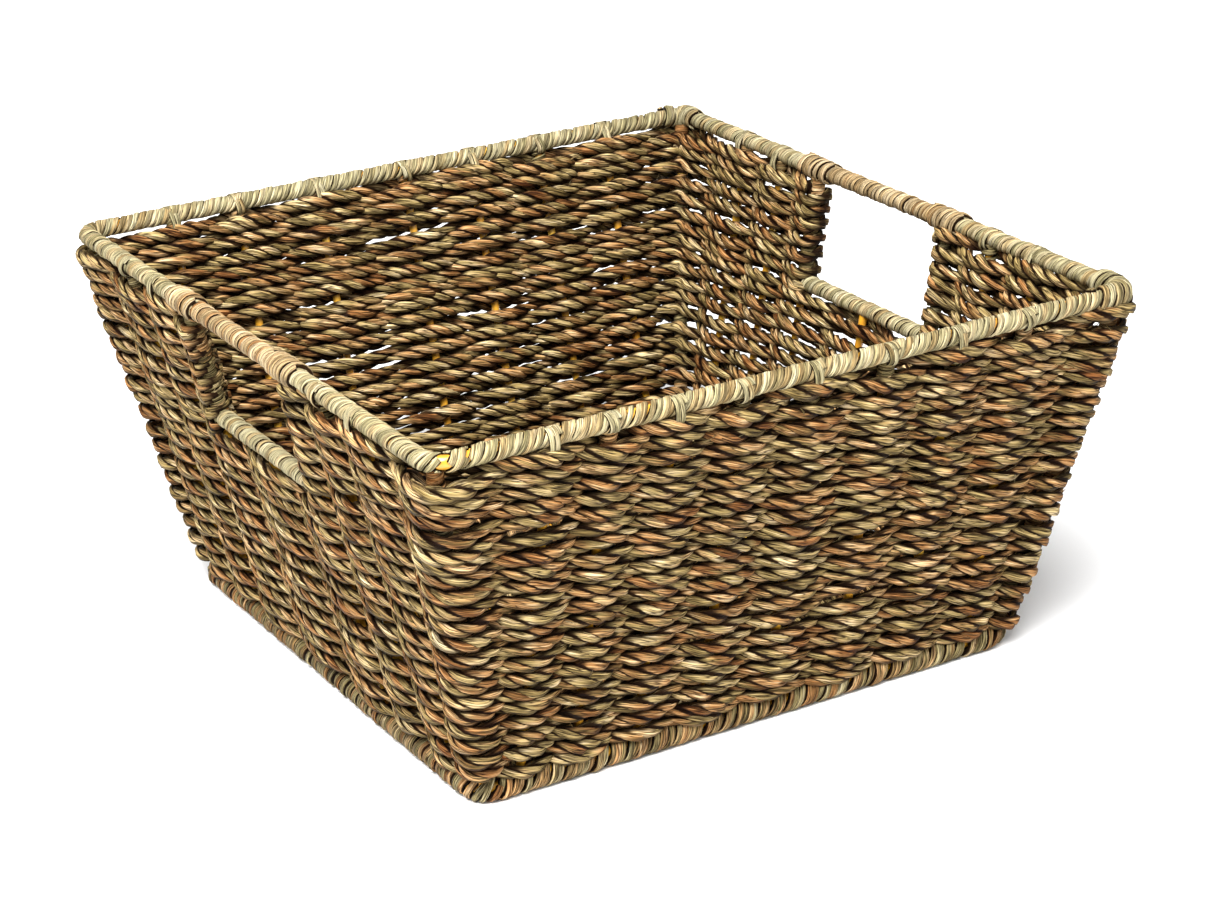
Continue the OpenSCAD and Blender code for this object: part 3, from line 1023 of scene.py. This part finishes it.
def painted_light_share(graph, crease, creases, valley):
    """How much painted light a point keeps, from 0 to 1: painted shade falls in the hollows beside
    a strand and along the creases between its leaves. creases is how dark the painted shade in the
    creases is."""
    do = graph.maths
    ragged = do("MULTIPLY", streaks(graph, *EDGE_STREAKS), EDGE_RAGGEDNESS)
    edge = do("ADD", graph.attribute("side"), ragged)
    edge = do("SUBTRACT", edge, valley + EDGE_RAGGEDNESS / 2)
    rise = do("MULTIPLY", edge, EDGE_SHARPNESS, clamp=True)
    lit = do("MULTIPLY", rise, do("ADD", do("MULTIPLY", crease, creases), 1 - creases))
    return do("POWER", do("MULTIPLY", lit, graph.attribute("open")), PAINTED_SHADE_POWER)


def leaf_color(graph, leaf, fibre, greens, reds, reddish_share):
    """The colour of each leaf, from two ramps: lighter or darker, and greener or redder."""
    do = graph.maths
    light = do("ADD", do("MULTIPLY", graph.attribute("tone"), LIGHT_FROM_TONE), leaf)
    light = do("ADD", light, do("MULTIPLY", fibre, LIGHT_FROM_FIBRE))
    light = do("SUBTRACT", light, LIGHT_OFFSET, clamp=True)
    reddish = do("SUBTRACT", do("ADD", graph.attribute("hue"), leaf), 1.5 - reddish_share)
    reddish = do("ADD", do("MULTIPLY", reddish, REDDISH_SHARPNESS), 0.5, clamp=True)
    return graph.mix(reddish, graph.ramp(light, greens), graph.ramp(light, reds))


def seagrass(name, greens, reds, valley, reddish_share, creases=0.9, roughness=0.6):
    """Dry grass leaves laid along a strand, with creases between them, fibres, and painted shade in
    the hollows and creases.
    """
    graph = Graph(name)
    do, shader = graph.maths, graph.shader.inputs
    leaf, fibre = streaks(graph, *LEAF_STREAKS), streaks(graph, *FIBRE_STREAKS)
    crease = do("ABSOLUTE", do("SUBTRACT", streaks(graph, *CREASE_STREAKS), 0.5))
    crease = do("MULTIPLY", crease, CREASE_SHARPNESS, clamp=True)
    # Painted shade: the colour is multiplied towards a dark brown in the hollows beside each
    # strand, in its creases and where the mesh's open values are low.
    hollow = do("SUBTRACT", 1, painted_light_share(graph, crease, creases, valley), clamp=True)
    color = leaf_color(graph, leaf, fibre, greens, reds, reddish_share)
    graph.give(shader["Base Color"], graph.mix(hollow, color, PAINTED_SHADE_TINT, "MULTIPLY"))
    rough = do("MULTIPLY", fibre, ROUGH_FROM_FIBRE)
    rough = do("ADD", rough, roughness - ROUGH_FROM_FIBRE / 2)
    graph.give(shader["Roughness"], rough)
    graph.give(shader["Specular IOR Level"], GLOSS)
    bump = graph.add("ShaderNodeBump")
    graph.give(bump.inputs["Strength"], 1.0)
    graph.give(bump.inputs["Distance"], FIBRE_HEIGHT)
    graph.give(bump.inputs["Height"], do("ADD", do("MULTIPLY", crease, CREASE_HEIGHT), fibre))
    graph.give(shader["Normal"], bump.outputs["Normal"])
    return graph.material


LACQUER = ((0.3, (0.42, 0.17, 0.012)), (0.55, (0.62, 0.30, 0.02)), (0.75, (0.78, 0.47, 0.06)))


def lacquer():
    graph = Graph("amber_lacquer")
    where = graph.add("ShaderNodeTexCoord").outputs["Object"]
    graph.give(graph.shader.inputs["Base Color"], graph.ramp(graph.noise(where, 90), LACQUER))
    graph.give(graph.shader.inputs["Roughness"], 0.32)
    graph.give(graph.shader.inputs["Coat Weight"], 0.4)
    return graph.material


def palette(*colors):
    """Evenly spaced stops of a ramp, from colours as they look on a screen."""
    linear = [tuple(((c / 255 + 0.055) / 1.055) ** 2.4 for c in color) for color in colors]
    return [(i / (len(linear) - 1), color) for i, color in enumerate(linear)]


ROPE_GREENS = palette(
    (74, 58, 29), (126, 106, 63), (168, 145, 94), (202, 177, 127), (244, 223, 181)
)
ROPE_REDS = palette(
    (80, 41, 17), (128, 82, 43), (165, 119, 71), (200, 158, 108), (240, 209, 161)
)
BORDER_GREENS = palette(
    (58, 47, 24), (104, 91, 57), (142, 127, 85), (176, 161, 118), (216, 202, 165)
)
PALE_GREENS = palette(
    (98, 90, 57), (147, 136, 97), (174, 163, 124), (199, 188, 149), (230, 221, 186)
)
PALE_REDS = palette(
    (104, 81, 47), (154, 129, 85), (180, 158, 114), (203, 182, 140), (230, 215, 177)
)
TAN = palette(
    (104, 80, 48), (156, 129, 88), (184, 159, 117), (208, 185, 146), (232, 214, 178)
)


# ---- Camera, light and floor ----

# The photograph's viewpoint: from the front left, a little above.
CAMERA_AT = (-0.6338, -1.1465, 0.6061)
CAMERA_RIGHT = (0.86251, -0.50448, -0.03979)
CAMERA_UP = (0.22033, 0.30357, 0.92699)
CAMERA_BACK = (-0.45556, -0.80830, 0.37298)
CAMERA_LENS = 87.7
SENSOR_WIDTH = 36

FLOOR_SIZE = 12
FLOOR_DROP = 0.2 * MM
FLOOR_GREY = (0.92, 0.92, 0.92, 1)
WORLD_STRENGTH = 0.33


def aim_camera():
    camera = bpy.data.objects.new("camera", bpy.data.cameras.new("camera"))
    bpy.context.scene.collection.objects.link(camera)
    camera.data.sensor_width = SENSOR_WIDTH
    camera.data.lens = CAMERA_LENS
    turn = Matrix((CAMERA_RIGHT, CAMERA_UP, CAMERA_BACK)).transposed().to_4x4()
    camera.matrix_world = Matrix.Translation(CAMERA_AT) @ turn
    bpy.context.scene.camera = camera


def light_from(name, kind, direction):
    """A light that shines towards the middle of the base from a direction."""
    light = bpy.data.objects.new(name, bpy.data.lights.new(name, kind))
    bpy.context.scene.collection.objects.link(light)
    light.rotation_euler = Vector(direction).to_track_quat("Z", "Y").to_euler()
    return light


def sun_light(name, direction, strength, spread):
    """A large, even light; spread is how wide it looks, in degrees."""
    light = light_from(name, "SUN", direction)
    light.data.energy, light.data.angle = strength, math.radians(spread)


def area_light(name, location, size, power):
    """A square light at a place."""
    light = light_from(name, "AREA", location)
    light.location = location
    light.data.energy, light.data.size = power, size


def light_studio():
    area_light("overhead_light", (-0.32, -0.34, 0.74), 0.5, 12)
    sun_light("key_light", (-0.42, -0.42, 0.88), 5.0, 42)
    sun_light("fill_light", (0.5, -0.75, 0.45), 0.9, 60)
    world = bpy.data.worlds.new("studio")
    world.use_nodes = True
    background = world.node_tree.nodes["Background"].inputs
    background["Color"].default_value = (1, 1, 1, 1)
    background["Strength"].default_value = WORLD_STRENGTH
    bpy.context.scene.world = world


def lay_floor():
    bpy.ops.mesh.primitive_plane_add(size=FLOOR_SIZE, location=(0, 0, -FLOOR_DROP))
    floor = bpy.context.object
    floor.name = "studio_floor"
    graph = Graph("studio_floor")
    graph.give(graph.shader.inputs["Base Color"], FLOOR_GREY)
    graph.give(graph.shader.inputs["Roughness"], 0.9)
    floor.data.materials.append(graph.material)


# ---- The whole picture ----


def lacquer_wires(material):
    """The CAD nodes that nothing replaces are the wires and the uprights."""
    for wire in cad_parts.values():
        if not wire.hide_render:
            wire.data.materials.clear()
            wire.data.materials.append(material)


def dress():
    rope_grass = seagrass("rope_grass", ROPE_GREENS, ROPE_REDS, PLY_VALLEY, 0.46)
    pale_grass = seagrass("pale_grass", PALE_GREENS, PALE_REDS, TURN_VALLEY, 0.35, 0.65, 0.55)
    tan_grass = seagrass("tan_grass", TAN, ROPE_REDS, TURN_VALLEY, 0.18, 0.65, 0.55)
    border_grass = seagrass("border_grass", BORDER_GREENS, ROPE_REDS, TURN_VALLEY, 0.42)
    plies = weave_walls(rope_grass)
    weave_floor(rope_grass)
    wind_rim(pale_grass)
    wind_grips(tan_grass)
    wind_corners(pale_grass)
    wind_sills(pale_grass)
    wind_uprights(border_grass)
    wind_border(border_grass)
    tie_rim(pale_grass)
    fray(plies, pale_grass, rope_grass)
    lacquer_wires(lacquer())


bpy.context.scene.view_settings.view_transform = "Standard"
dress()
aim_camera()
light_studio()
lay_floor()
